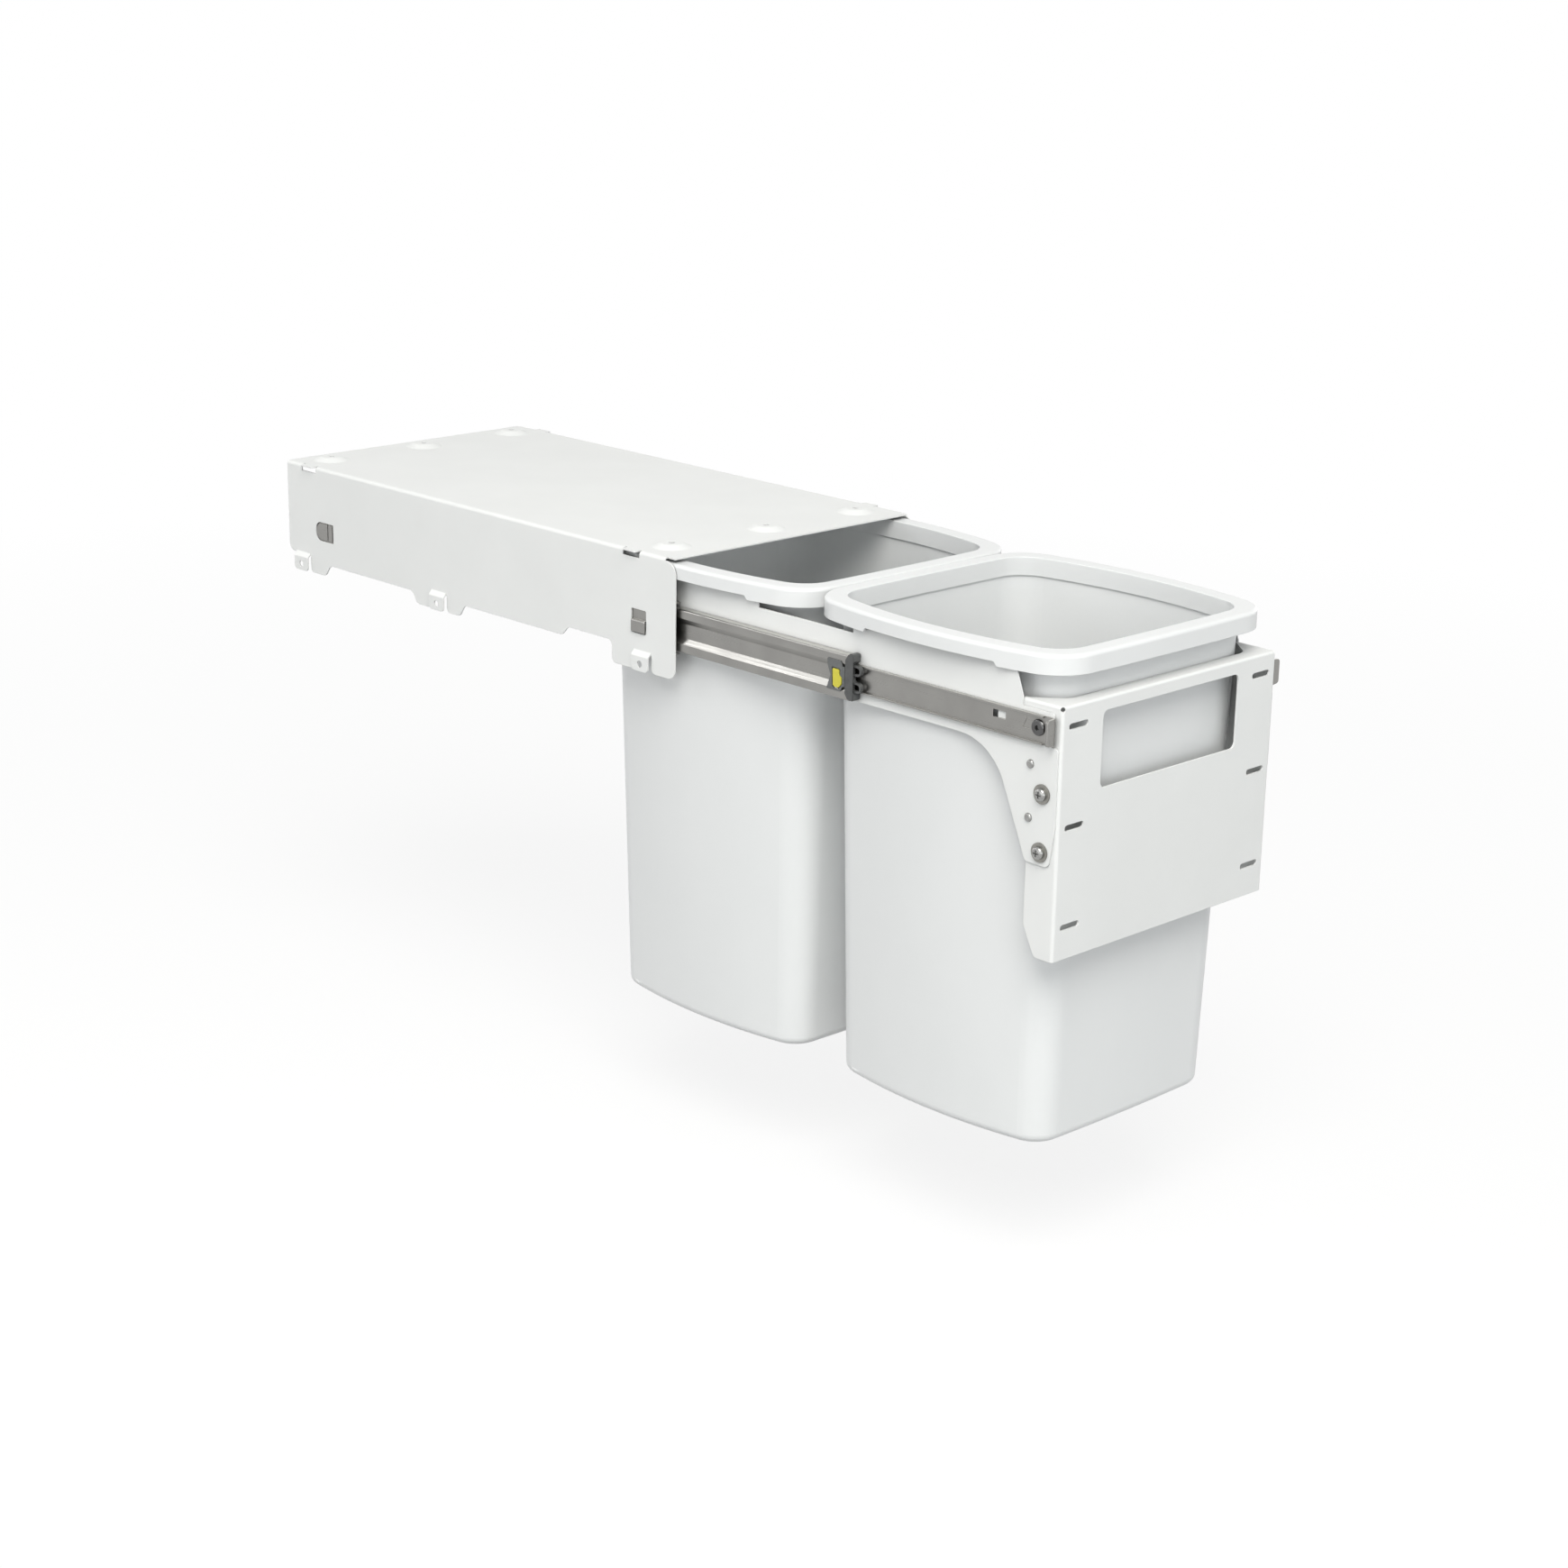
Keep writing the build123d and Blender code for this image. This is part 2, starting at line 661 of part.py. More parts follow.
def pawl_outline(grown=0.0):
    """Side view of the latch's lever, grown by a clearance all round."""
    front = PAWL_Y - 4.9 - grown
    back = PAWL_Y + 4.0 + grown
    neck = PAWL_Y - 2.6 - grown
    top = PAWL_Z + 6.7 + grown
    bottom = PAWL_Z - 7.0 - grown
    return [
        (back, top, 1.0),
        (neck, top - 0.3, 1.4),
        (neck, PAWL_Z + 2.6, 0.6),
        (front, PAWL_Z + 0.9, 1.6),
        (front, PAWL_Z - 4.0, 1.6),
        (PAWL_Y - 2.2, bottom, 1.0),
        (PAWL_Y + 1.8, bottom, 1.0),
        (back - 0.7, bottom + 1.2, 1.0),
    ]


def latch_pawl():
    """Coloured lever that is pushed to release the drawer; it tilts on the latch's pin."""
    lever = across(pawl_outline(), MIDDLE_SLIDE_FACE - 0.3, MIDDLE_SLIDE_FACE + 0.9)
    bore = cross_pin(
        MIDDLE_SLIDE_FACE - 1,
        MIDDLE_SLIDE_FACE + 0.55,
        PAWL_Y,
        PAWL_Z,
        PAWL_PIN_RADIUS + 0.06,
    )
    return lever - bore


def ball_rows(row_x, row_z, front, length):
    """Centres of two rows of balls, above and below the slide's middle."""
    pitch = length / BALLS_IN_ROW
    centres = []
    for z in (row_z, 2 * SLIDE_CENTRE_Z - row_z):
        for i in range(BALLS_IN_ROW):
            centres.append((row_x, front + (i + 0.5) * pitch, z))
    return centres


def balls(centres, radius):
    """Loose steel balls."""
    return Compound([Pos(*centre) * Sphere(radius) for centre in centres])


def caged(strip, centres, radius):
    """The cage strip with a round pocket for each ball."""
    clearance = 0.15
    for centre in centres:
        strip -= Pos(*centre) * Cylinder(radius + clearance, 4 * radius)
    return strip


def outer_ball_places():
    """Centres of the balls between the cabinet member and the middle member."""
    return ball_rows(OUTER_TRACK_X, OUTER_TRACK_Z, CAGE_FRONT_OUTER, CAGE_LENGTH_OUTER)


def inner_ball_places():
    """Centres of the balls between the middle member and the drawer member."""
    return ball_rows(INNER_TRACK_X, INNER_TRACK_Z, CAGE_FRONT_INNER, CAGE_LENGTH_INNER)


def outer_cage():
    """Ball cage between the cabinet member and the middle member."""
    outer = MIDDLE_SLIDE_FACE + 1.0
    inner = outer - CAGE_STEEL
    arm_end = 123.4
    high = OUTER_TRACK_Z + CAGE_STEEL / 2
    low = OUTER_TRACK_Z - CAGE_STEEL / 2
    mirror_high = 2 * SLIDE_CENTRE_Z - high
    mirror_low = 2 * SLIDE_CENTRE_Z - low
    section = [
        (arm_end, high, 0),
        (outer, high, 0.8),
        (outer, mirror_high, 0.8),
        (arm_end, mirror_high, 0),
        (arm_end, mirror_low, 0),
        (inner, mirror_low, 0.2),
        (inner, low, 0.2),
        (arm_end, low, 0),
    ]
    strip = along(section, CAGE_FRONT_OUTER, CAGE_FRONT_OUTER + CAGE_LENGTH_OUTER)
    return caged(strip, outer_ball_places(), BALL_RADIUS_OUTER)


def inner_cage():
    """Ball cage between the middle member and the drawer member."""
    high = INNER_TRACK_Z + CAGE_STEEL / 2
    low = INNER_TRACK_Z - CAGE_STEEL / 2
    arm_end = 120.6
    face = 124.2
    web = 122.6             # the strip steps in here, to clear the middle member's web
    outer_half = [
        (arm_end, high, 0),
        (face, high, 0.7),
        (face, -46.9, 0.7),
        (web, -49.7, 0.7),
    ]
    inner_half = [
        (web - CAGE_STEEL, -49.5, 0.3),
        (face - CAGE_STEEL, -46.7, 0.3),
        (face - CAGE_STEEL, low, 0.3),
        (arm_end, low, 0),
    ]
    flipped_outer = [(x, 2 * SLIDE_CENTRE_Z - z, r) for x, z, r in reversed(outer_half)]
    flipped_inner = [(x, 2 * SLIDE_CENTRE_Z - z, r) for x, z, r in reversed(inner_half)]
    section = outer_half + flipped_outer + flipped_inner + inner_half
    strip = along(section, CAGE_FRONT_INNER, CAGE_FRONT_INNER + CAGE_LENGTH_INNER)
    return caged(strip, inner_ball_places(), BALL_RADIUS_INNER)


# ---- drawer frame -----------------------------------------------------------------------------

def side_panel():
    """Steel side of the drawer, with two raised edges for the bins and a lobe for the bracket."""
    plate = across(
        [
            (PANEL_BACK, PANEL_LOW, 4),
            (71.5, PANEL_LOW, 1),
            (71.5, PANEL_HIGH, 2),
            (-84.5, PANEL_HIGH, 2),
            (-84.5, PANEL_LOW, 1),
            (-184.0, PANEL_LOW, 1),
            (-184.0, PANEL_HIGH, 2),
            (-338.0, PANEL_HIGH, 3),
            (-348.5, -36.0, 1),
            (-348.5, -42.1, 1),
            (-377.5, -42.1, 2),
            (-377.5, -66.2, 0),
            (PANEL_FRONT, -66.2, 4),
            (PANEL_FRONT, -124.0, 8),
            (-378.0, -153.1, 5),
            (-356.3, -153.1, 4),
            (-321.9, PANEL_BOTTOM, 47),
            (PANEL_BACK, PANEL_BOTTOM, 4),
        ],
        PANEL_INNER,
        PANEL_OUTER,
    )
    plate -= across(rectangle(-326.4, -320.0, -56.0, -49.0, 1), PANEL_INNER - 1, PANEL_OUTER + 1)
    for y, z in SLIDE_SCREW_PLACES:
        plate -= cross_pin(PANEL_INNER - 1, PANEL_OUTER + 1, y, z, SLIDE_SHANK)
    for y, z in BRACKET_SCREW_PLACES:
        plate -= cross_pin(PANEL_INNER - 1, PANEL_OUTER + 1, y, z, SCREW_SHANK)
    for y, z in BRACKET_RIVET_PLACES:
        plate -= cross_pin(PANEL_INNER - 1, PANEL_OUTER + 1, y, z, RIVET_SHANK)
    return plate


def door_bracket():
    """Folded front bracket that the cabinet door is screwed to."""
    bend = 2.6
    inner_bend = bend - BRACKET_SHEET
    arms_back = -347.6
    outer = upward(
        [
            (-PANEL_INNER, BRACKET_FRONT, bend),
            (PANEL_INNER, BRACKET_FRONT, bend),
            (PANEL_INNER, arms_back, 0),
            (-PANEL_INNER, arms_back, 0),
        ],
        BRACKET_BOTTOM,
        BRACKET_TOP,
    )
    top_edges = edges_at(outer, BRACKET_TOP).filter_by(Axis.Y, reverse=True)
    outer = fillet(top_edges.sort_by(Axis.Y)[:1], 2.0)
    inner_half = PANEL_INNER - BRACKET_SHEET
    inside = upward(
        [
            (-inner_half, BRACKET_FRONT + BRACKET_SHEET, inner_bend),
            (inner_half, BRACKET_FRONT + BRACKET_SHEET, inner_bend),
            (inner_half, arms_back + 1, 0),
            (-inner_half, arms_back + 1, 0),
        ],
        BRACKET_BOTTOM - 1,
        BRACKET_TOP - BRACKET_SHEET,
    )
    side_view = across(
        [
            (BRACKET_FRONT - 1, BRACKET_TOP + 1, 0),
            (arms_back, BRACKET_TOP + 1, 0),
            (arms_back, -130.0, 4),
            (-356.2, -152.0, 4),
            (-356.2, -200.2, 5),
            (-367.1, BRACKET_BOTTOM, 5),
            (BRACKET_FRONT - 1, BRACKET_BOTTOM, 0),
        ],
        -PANEL_INNER - 1,
        PANEL_INNER + 1,
    )
    bracket = (outer - inside) & side_view

    # The top flange is cut back between two curved gussets.
    gusset = [
        (116.0, arms_back + 1, 0),
        (114.0, -351.0, 2),
        (98.5, -369.0, 3),
        (93.0, -371.4, 2),
    ]
    other_gusset = [(-x, y, radius) for x, y, radius in reversed(gusset)]
    bracket -= upward(gusset + other_gusset, BRACKET_TOP - BRACKET_SHEET - 1, BRACKET_TOP + 1)

    cut_front = BRACKET_FRONT - 1
    cut_back = BRACKET_FRONT + 4
    bracket -= along(rectangle(-75.5, 75.5, -102.7, -46.6, 5), cut_front, cut_back)
    for row in range(3):
        z = SLOT_TOP_Z - row * SLOT_SPACING_Z
        for x in (-SLOT_SPACING_X / 2, SLOT_SPACING_X / 2):
            slot = rectangle(
                x - SLOT_LENGTH / 2,
                x + SLOT_LENGTH / 2,
                z - SLOT_WIDTH / 2,
                z + SLOT_WIDTH / 2,
                SLOT_WIDTH / 2 - 0.001,
            )
            bracket -= along(slot, cut_front, cut_back)
    relief = Rot(0, 0, 45) * Rot(90, 0, 0) * Cylinder(RELIEF_RADIUS, 8)
    bracket -= both_sides(Pos(PANEL_INNER - 0.4, BRACKET_FRONT + 0.4, RELIEF_Z) * relief)
    drilled = [(place, SCREW_SHANK) for place in BRACKET_SCREW_PLACES]
    drilled += [(place, RIVET_SHANK) for place in BRACKET_RIVET_PLACES]
    drilled.append((SLIDE_SCREW_PLACES[0], SLIDE_SHANK))
    for (y, z), radius in drilled:
        bracket -= both_sides(cross_pin(inner_half - 1, PANEL_INNER + 1, y, z, radius))
    return bracket


def rear_tie_bar():
    """Folded bar that joins the two side panels behind the rear bin."""
    sheet = 1.2
    front = 108.8
    back = PANEL_BACK - 1
    inner = PANEL_INNER - sheet
    return upward(
        [
            (-PANEL_INNER, back, 0),
            (-PANEL_INNER, front, 2.2),
            (PANEL_INNER, front, 2.2),
            (PANEL_INNER, back, 0),
            (inner, back, 0),
            (inner, front + sheet, 1),
            (-inner, front + sheet, 1),
            (-inner, back, 0),
        ],
        -70.0,
        -22.0,
    )


def slide_screws():
    """Screws that hold the inner slides: one button head in front and two flat heads behind."""
    web = PANEL_OUTER + SLIDE_STEEL
    tail = PANEL_INNER - 0.8
    button_height = 2.0
    flat_height = 0.6
    y, z = SLIDE_SCREW_PLACES[0]
    button = cross_pin(web, web + button_height, y, z, 5.9)
    button = fillet(button.edges().sort_by(Axis.X)[-1], 1.7)
    button -= hexagon_socket(web + button_height, y, z, 2.0, 1.4)
    pieces = [button + cross_pin(tail - BRACKET_SHEET, web, y, z, SLIDE_SHANK)]
    for y, z in SLIDE_SCREW_PLACES[1:]:
        head = cross_pin(web, web + flat_height, y, z, 4.0)
        pieces.append(head + cross_pin(tail, web, y, z, SLIDE_SHANK))
    return both_groups(pieces)


def hexagon_socket(face_x, y, z, radius, depth):
    """Hexagonal recess in a screw head that faces +x."""
    shape = extrude(RegularPolygon(radius, 6), depth + 1)
    return Pos(face_x - depth, y, z) * Rot(0, 90, 0) * shape


def both_groups(pieces):
    """Separate solids and their mirror images as one group."""
    return Compound(pieces + [mirrored(piece) for piece in pieces])


def bracket_washers():
    """Plain washers under the bracket's screws."""
    pieces = []
    for y, z in BRACKET_SCREW_PLACES:
        disc = cross_pin(PANEL_OUTER, PANEL_OUTER + WASHER_HEIGHT, y, z, 7.1)
        pieces.append(disc - cross_pin(PANEL_OUTER - 1, PANEL_OUTER + 2, y, z, SCREW_SHANK))
    return both_groups(pieces)


def bracket_screws():
    """Pan-head screws that set the bracket's tilt."""
    seat = PANEL_OUTER + WASHER_HEIGHT
    head_height = 3.2
    tip = 113.0
    pieces = []
    for y, z in BRACKET_SCREW_PLACES:
        head = cross_pin(seat, seat + head_height, y, z, 4.8)
        head = fillet(head.edges().sort_by(Axis.X)[-1], 2.4)
        recess = cross_recess(seat + head_height, y, z)
        shank = cross_pin(tip, seat, y, z, SCREW_SHANK)
        pieces.append(head - recess + shank)
    return both_groups(pieces)


def cross_recess(face_x, y, z):
    """Cross-shaped driver recess."""
    depth = 1.6
    arm = 2.4
    half = 0.5
    upright = block(face_x - depth, face_x + 1, y - half, y + half, z - arm, z + arm)
    level = block(face_x - depth, face_x + 1, y - arm, y + arm, z - half, z + half)
    return upright + level


def bracket_rivets():
    """Button-head rivets that join bracket and panels."""
    pieces = []
    inner_face = PANEL_INNER - BRACKET_SHEET
    for y, z in BRACKET_RIVET_PLACES:
        head = cross_pin(PANEL_OUTER, PANEL_OUTER + 1.6, y, z, 3.2)
        head = fillet(head.edges().sort_by(Axis.X)[-1], 1.4)
        shank = cross_pin(inner_face, PANEL_OUTER, y, z, RIVET_SHANK)
        tail = cross_pin(inner_face - 1.0, inner_face, y, z, 3.0)
        pieces.append(head + shank + tail)
    return both_groups(pieces)


# ---- bins -------------------------------------------------------------------------------------

def bin_shape_at(z):
    """Outline numbers of the bin's tapered wall at one level."""
    share = (z - BIN_BOTTOM) / (BIN_TOP - BIN_BOTTOM)
    return [foot + (mouth - foot) * share for foot, mouth in zip(BIN_FOOT_SHAPE, BIN_MOUTH_SHAPE)]


def tapered(z_low, z_high, inset, centre_y):
    """Solid inside the bin's wall between two levels."""
    faces = [bowed_face(bin_shape_at(z), inset, centre_y, z) for z in (z_low, z_high)]
    return loft(faces, ruled=True)


def waste_bin(centre_y):
    """Tapered bin with bowed sides and a flange that rests on the drawer's panels."""
    foot_rounding = 7.0
    flange_sheet = 2.0
    floor_top = BIN_BOTTOM + BIN_FLOOR
    outer = tapered(BIN_BOTTOM, BIN_TOP, 0, centre_y)
    outer = fillet(edges_at(outer, BIN_BOTTOM), foot_rounding)
    inside = tapered(floor_top, BIN_TOP + 1, BIN_WALL, centre_y)
    inside = fillet(edges_at(inside, floor_top), foot_rounding - BIN_WALL)
    flange = bowed_face(bin_shape_at(BIN_TOP), -BIN_FLANGE, centre_y, BIN_TOP)
    return outer + extrude(flange, -flange_sheet) - inside


def bin_ring(centre_y):
    """Rim that clips over the bin's flange and hides the edge of the bag."""
    body = extrude(bowed_face(RING_SHAPE, 0, centre_y, RING_BOTTOM), RING_TOP - RING_BOTTOM)
    body = fillet(edges_at(body, RING_TOP), 3.0)
    hollow_top = RING_TOP - RING_WALL
    hollow = extrude(bowed_face(RING_SHAPE, RING_WALL, centre_y, hollow_top), -BEYOND)
    skirt = extrude(bowed_face(RING_OPENING_SHAPE, -RING_SKIRT, centre_y, hollow_top), -BEYOND)
    opening = extrude(bowed_face(RING_OPENING_SHAPE, 0, centre_y, RING_TOP + 1), -BEYOND)
    # The outer skirt is cut back along the middle of the long sides.
    cut_top = RING_BOTTOM + 3.2
    cut_front = centre_y - 70
    cut_back = centre_y + 59
    relief = across(
        [
            (cut_front, RING_BOTTOM - 1, 0),
            (cut_front + 3, cut_top, 1),
            (cut_back - 3, cut_top, 1),
            (cut_back, RING_BOTTOM - 1, 0),
        ],
        PANEL_OUTER,
        RING_SHAPE[0] + 1,
    )
    ring = body - (hollow - skirt) - opening - both_sides(relief)
    return fillet(inner_top_edges(ring, centre_y), 0.8)


def inner_top_edges(ring, centre_y):
    """Edges round the ring's opening, in its top face."""
    limit = RING_OPENING_SHAPE[0] + 2
    chosen = []
    for edge in edges_at(ring, RING_TOP):
        middle = edge.center()
        if abs(middle.X) < limit and abs(middle.Y - centre_y) < limit - 2:
            chosen.append(edge)
    return chosen


# ---- all pieces -------------------------------------------------------------------------------

def main():
    os.makedirs("parts", exist_ok=True)
    to_mount_frame = Pos(0, -SCREW_CENTRE_Y, -SCREW_SEAT_RISE)

    def write(name, shape):
        export_step(to_mount_frame * shape, f"parts/{name}.step")

    write("housing_shell", housing_shell())
    write("door_bracket", door_bracket())
    write("rear_tie_bar", rear_tie_bar())
    write("slide_screws", slide_screws())
    write("bracket_washers", bracket_washers())
    write("bracket_screws", bracket_screws())
    write("bracket_rivets", bracket_rivets())
    paired = {
        "outer_slide": outer_slide(),
        "middle_slide": middle_slide(),
        "inner_slide": inner_slide(),
        "end_retainer": end_retainer(),
        "latch_body": latch_body(),
        "latch_pawl": latch_pawl(),
        "outer_cage": outer_cage(),
        "inner_cage": inner_cage(),
        "outer_balls": balls(outer_ball_places(), BALL_RADIUS_OUTER),
        "inner_balls": balls(inner_ball_places(), BALL_RADIUS_INNER),
        "side_panel": side_panel(),
    }
    for name, shape in paired.items():
        write(f"{name}_right", shape)
        write(f"{name}_left", mirrored(shape))
    for name, centre_y in BIN_CENTRES.items():
        write(f"{name}_bin", waste_bin(centre_y))
        write(f"{name}_ring", bin_ring(centre_y))


main()
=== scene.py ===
import math

import bmesh
import bpy
from mathutils import Matrix, Vector


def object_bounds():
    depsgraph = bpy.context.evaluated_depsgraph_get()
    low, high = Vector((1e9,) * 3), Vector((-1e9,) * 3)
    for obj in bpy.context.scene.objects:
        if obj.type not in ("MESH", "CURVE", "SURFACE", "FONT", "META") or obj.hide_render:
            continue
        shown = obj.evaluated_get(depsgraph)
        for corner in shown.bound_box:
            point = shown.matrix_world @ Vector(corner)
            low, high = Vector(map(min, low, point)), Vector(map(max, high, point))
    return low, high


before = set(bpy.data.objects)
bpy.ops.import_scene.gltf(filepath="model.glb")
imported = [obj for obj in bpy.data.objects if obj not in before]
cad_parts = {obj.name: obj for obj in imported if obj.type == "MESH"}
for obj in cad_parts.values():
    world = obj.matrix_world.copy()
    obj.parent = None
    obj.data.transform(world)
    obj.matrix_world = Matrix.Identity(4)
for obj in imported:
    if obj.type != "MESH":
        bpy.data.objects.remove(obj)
box_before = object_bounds()

# Metres, in the part's own frame: x to the right, y to the back of the cabinet, z up, with the
# origin in the middle of the ceiling screw holes. Colours are red, green and blue from 0 to 1.

# ---- camera --------------------------------------------------------------------------------------

CAMERA_AZIMUTH = -44.305        # degrees round the object, 0 looks along +y
CAMERA_ELEVATION = 17.233
CAMERA_ROLL = 1.033
CAMERA_PLACE = (-1.62631, -1.91412, 0.51209)
CAMERA_LENS = 69.022            # mm
CAMERA_SENSOR = 36.0            # mm
CAMERA_NEAREST = 0.05
CAMERA_FARTHEST = 60.0


def make_camera():
    """The camera at the photograph's place, angle and focal length."""
    data = bpy.data.cameras.new("camera")
    data.lens = CAMERA_LENS
    data.sensor_width = CAMERA_SENSOR
    data.clip_start = CAMERA_NEAREST
    data.clip_end = CAMERA_FARTHEST
    camera = bpy.data.objects.new("camera", data)
    bpy.context.scene.collection.objects.link(camera)
    azimuth = Matrix.Rotation(math.radians(CAMERA_AZIMUTH), 4, "Z")
    tilt = Matrix.Rotation(math.radians(90 - CAMERA_ELEVATION), 4, "X")
    roll = Matrix.Rotation(math.radians(CAMERA_ROLL), 4, "Z")
    camera.matrix_world = Matrix.Translation(CAMERA_PLACE) @ azimuth @ tilt @ roll
    bpy.context.scene.camera = camera


# ---- studio --------------------------------------------------------------------------------------

TARGET = (0.0, -0.2, -0.15)     # the middle of the unit, which every lamp points at
FLOOR_GAP = 0.10                # the unit hangs this far above the floor
FLOOR_HALF = 30.0
FLOOR_LIGHT = 0.36              # how much of the light the floor throws back up
FLOOR_SEEN = 0.97               # how pale it is where the camera sees it lit
FLOOR_SHADOW = 0.18             # how strongly shadows show on the floor beside the unit
SHADOW_FADE = (0.8, 2.2)        # metres from the unit, over which they fade to plain white
WORLD_STRENGTH = 0.35
WORLD_COLOUR = (0.97, 0.99, 1.0, 1)
WHITE = (1, 1, 1, 1)

# A high soft box on the camera's side, upright panels all round with a narrow one before the bins'
# front corners, and a weak lamp behind. Name, place, width and height, watts, colour.
LAMPS = (
    ("key", (-1.76, -2.12, 2.92), (2.6, 2.6), 136.0, (1.0, 0.99, 0.955)),
    ("left_panel", (-4.2, -0.2, 0.35), (3.0, 1.6), 23.0, (0.96, 0.985, 1.0)),
    ("front_panel", (0.0, -4.4, 0.35), (3.0, 1.6), 25.0, (0.93, 0.975, 1.0)),
    ("corner_panel", (-2.95, -3.05, 0.3), (0.8, 1.5), 16.0, (0.97, 0.99, 1.0)),
    ("right_panel", (4.2, -0.2, 0.5), (3.0, 1.8), 24.0, (1.0, 1.0, 1.0)),
    ("back_panel", (0.0, 4.2, 0.5), (3.0, 1.8), 22.0, (1.0, 1.0, 1.0)),
    ("back_left", (-2.2, 2.4, 1.6), (0.7, 0.7), 13.0, (1.0, 1.0, 1.0)),
)


def area_light(name, place, size, power, colour):
    """Soft box that points from its place to the unit."""
    data = bpy.data.lights.new(name, "AREA")
    data.shape = "RECTANGLE"
    data.size, data.size_y = size
    data.energy = power
    data.color = colour
    light = bpy.data.objects.new(name, data)
    bpy.context.scene.collection.objects.link(light)
    direction = Vector(TARGET) - Vector(place)
    light.location = place
    light.rotation_mode = "QUATERNION"
    light.rotation_quaternion = direction.to_track_quat("-Z", "Y")


def larger(nodes, links, first, second):
    """The larger of two values."""
    node = nodes.new("ShaderNodeMath")
    node.operation = "MAXIMUM"
    links.new(first, node.inputs[0])
    links.new(second, node.inputs[1])
    return node.outputs[0]


def seen_directly(nodes, links):
    """1 where the camera, a reflection or a see-through ray looks, 0 for light that spreads."""
    path = nodes.new("ShaderNodeLightPath").outputs
    sharp = larger(nodes, links, path["Is Glossy Ray"], path["Is Transmission Ray"])
    return larger(nodes, links, path["Is Camera Ray"], sharp)


def mixed(nodes, links, share, first, second):
    """One shader that turns from the first to the second by the share."""
    mix = nodes.new("ShaderNodeMixShader")
    links.new(share, mix.inputs[0])
    links.new(first.outputs[0], mix.inputs[1])
    links.new(second.outputs[0], mix.inputs[2])
    return mix


def make_world():
    """Even pale light from all round, white where it is seen."""
    world = bpy.data.worlds.new("studio")
    bpy.context.scene.world = world
    world.use_nodes = True
    nodes, links = world.node_tree.nodes, world.node_tree.links
    nodes.clear()
    light = nodes.new("ShaderNodeBackground")
    light.inputs["Color"].default_value = WORLD_COLOUR
    light.inputs["Strength"].default_value = WORLD_STRENGTH
    white = nodes.new("ShaderNodeBackground")
    white.inputs["Color"].default_value = WHITE
    white.inputs["Strength"].default_value = 1.0
    mix = mixed(nodes, links, seen_directly(nodes, links), light, white)
    out = nodes.new("ShaderNodeOutputWorld")
    links.new(mix.outputs[0], out.inputs[0])


def grey_paint(nodes, level):
    """Matt paint of one grey."""
    paint = nodes.new("ShaderNodeBsdfDiffuse")
    paint.inputs["Color"].default_value = (level, level, level, 1)
    return paint


def make_floor(low_z):
    """Wide pale floor. It shows the unit's shadow, and is plain white farther away."""
    mesh = bpy.data.meshes.new("floor")
    build = bmesh.new()
    corners = [(-1, -1), (1, -1), (1, 1), (-1, 1)]
    build.faces.new([build.verts.new((x * FLOOR_HALF, y * FLOOR_HALF, low_z)) for x, y in corners])
    build.to_mesh(mesh)
    build.free()
    floor = bpy.data.objects.new("floor", mesh)
    bpy.context.scene.collection.objects.link(floor)
    material = bpy.data.materials.new("floor")
    material.use_nodes = True
    nodes, links = material.node_tree.nodes, material.node_tree.links
    nodes.clear()
    white = nodes.new("ShaderNodeEmission")
    white.inputs["Color"].default_value = WHITE
    white.inputs["Strength"].default_value = 1.0
    distance = nodes.new("ShaderNodeVectorMath")
    distance.operation = "LENGTH"
    links.new(nodes.new("ShaderNodeTexCoord").outputs["Object"], distance.inputs[0])
    fade = nodes.new("ShaderNodeMapRange")
    for socket, number in zip(fade.inputs[1:5], (*SHADOW_FADE, 1 - FLOOR_SHADOW, 1.0)):
        socket.default_value = number
    links.new(distance.outputs["Value"], fade.inputs[0])
    seen = mixed(nodes, links, fade.outputs[0], grey_paint(nodes, FLOOR_SEEN), white)
    lit = grey_paint(nodes, FLOOR_LIGHT)
    mix = mixed(nodes, links, seen_directly(nodes, links), lit, seen)
    out = nodes.new("ShaderNodeOutputMaterial")
    links.new(mix.outputs[0], out.inputs[0])
    mesh.materials.append(material)


# ---- materials -----------------------------------------------------------------------------------

SHADER_RAYS = 6                 # rays that the edge and crevice nodes send out at each point
NOISE_SPREAD = (0.3, 0.7)       # the range that most of a noise's values are in
EDGE_BEND = (0.97, 0.75)        # cosine of the bend at an edge, from where it shows to where it is full
CREVICE_SHADE_FULL = 0.2              # how open a crevice is where its painted shade is as dark as it gets
UPWARD = (0.75, 0.95)           # upward share of the normal, from where it counts to where it is full
STREAK_SPREAD = (0.25, 0.75)
METAL_HIGHLIGHT = 2.0                 # painted highlight: how much brighter the slides' steel is on its edges and on faces that look up
CLOUDED = 0.85                  # how bright the duller clouds on bright metal are
MOULDING_EDGE_HIGHLIGHT = 1.5                 # painted highlight: how much paler the edges of small mouldings are
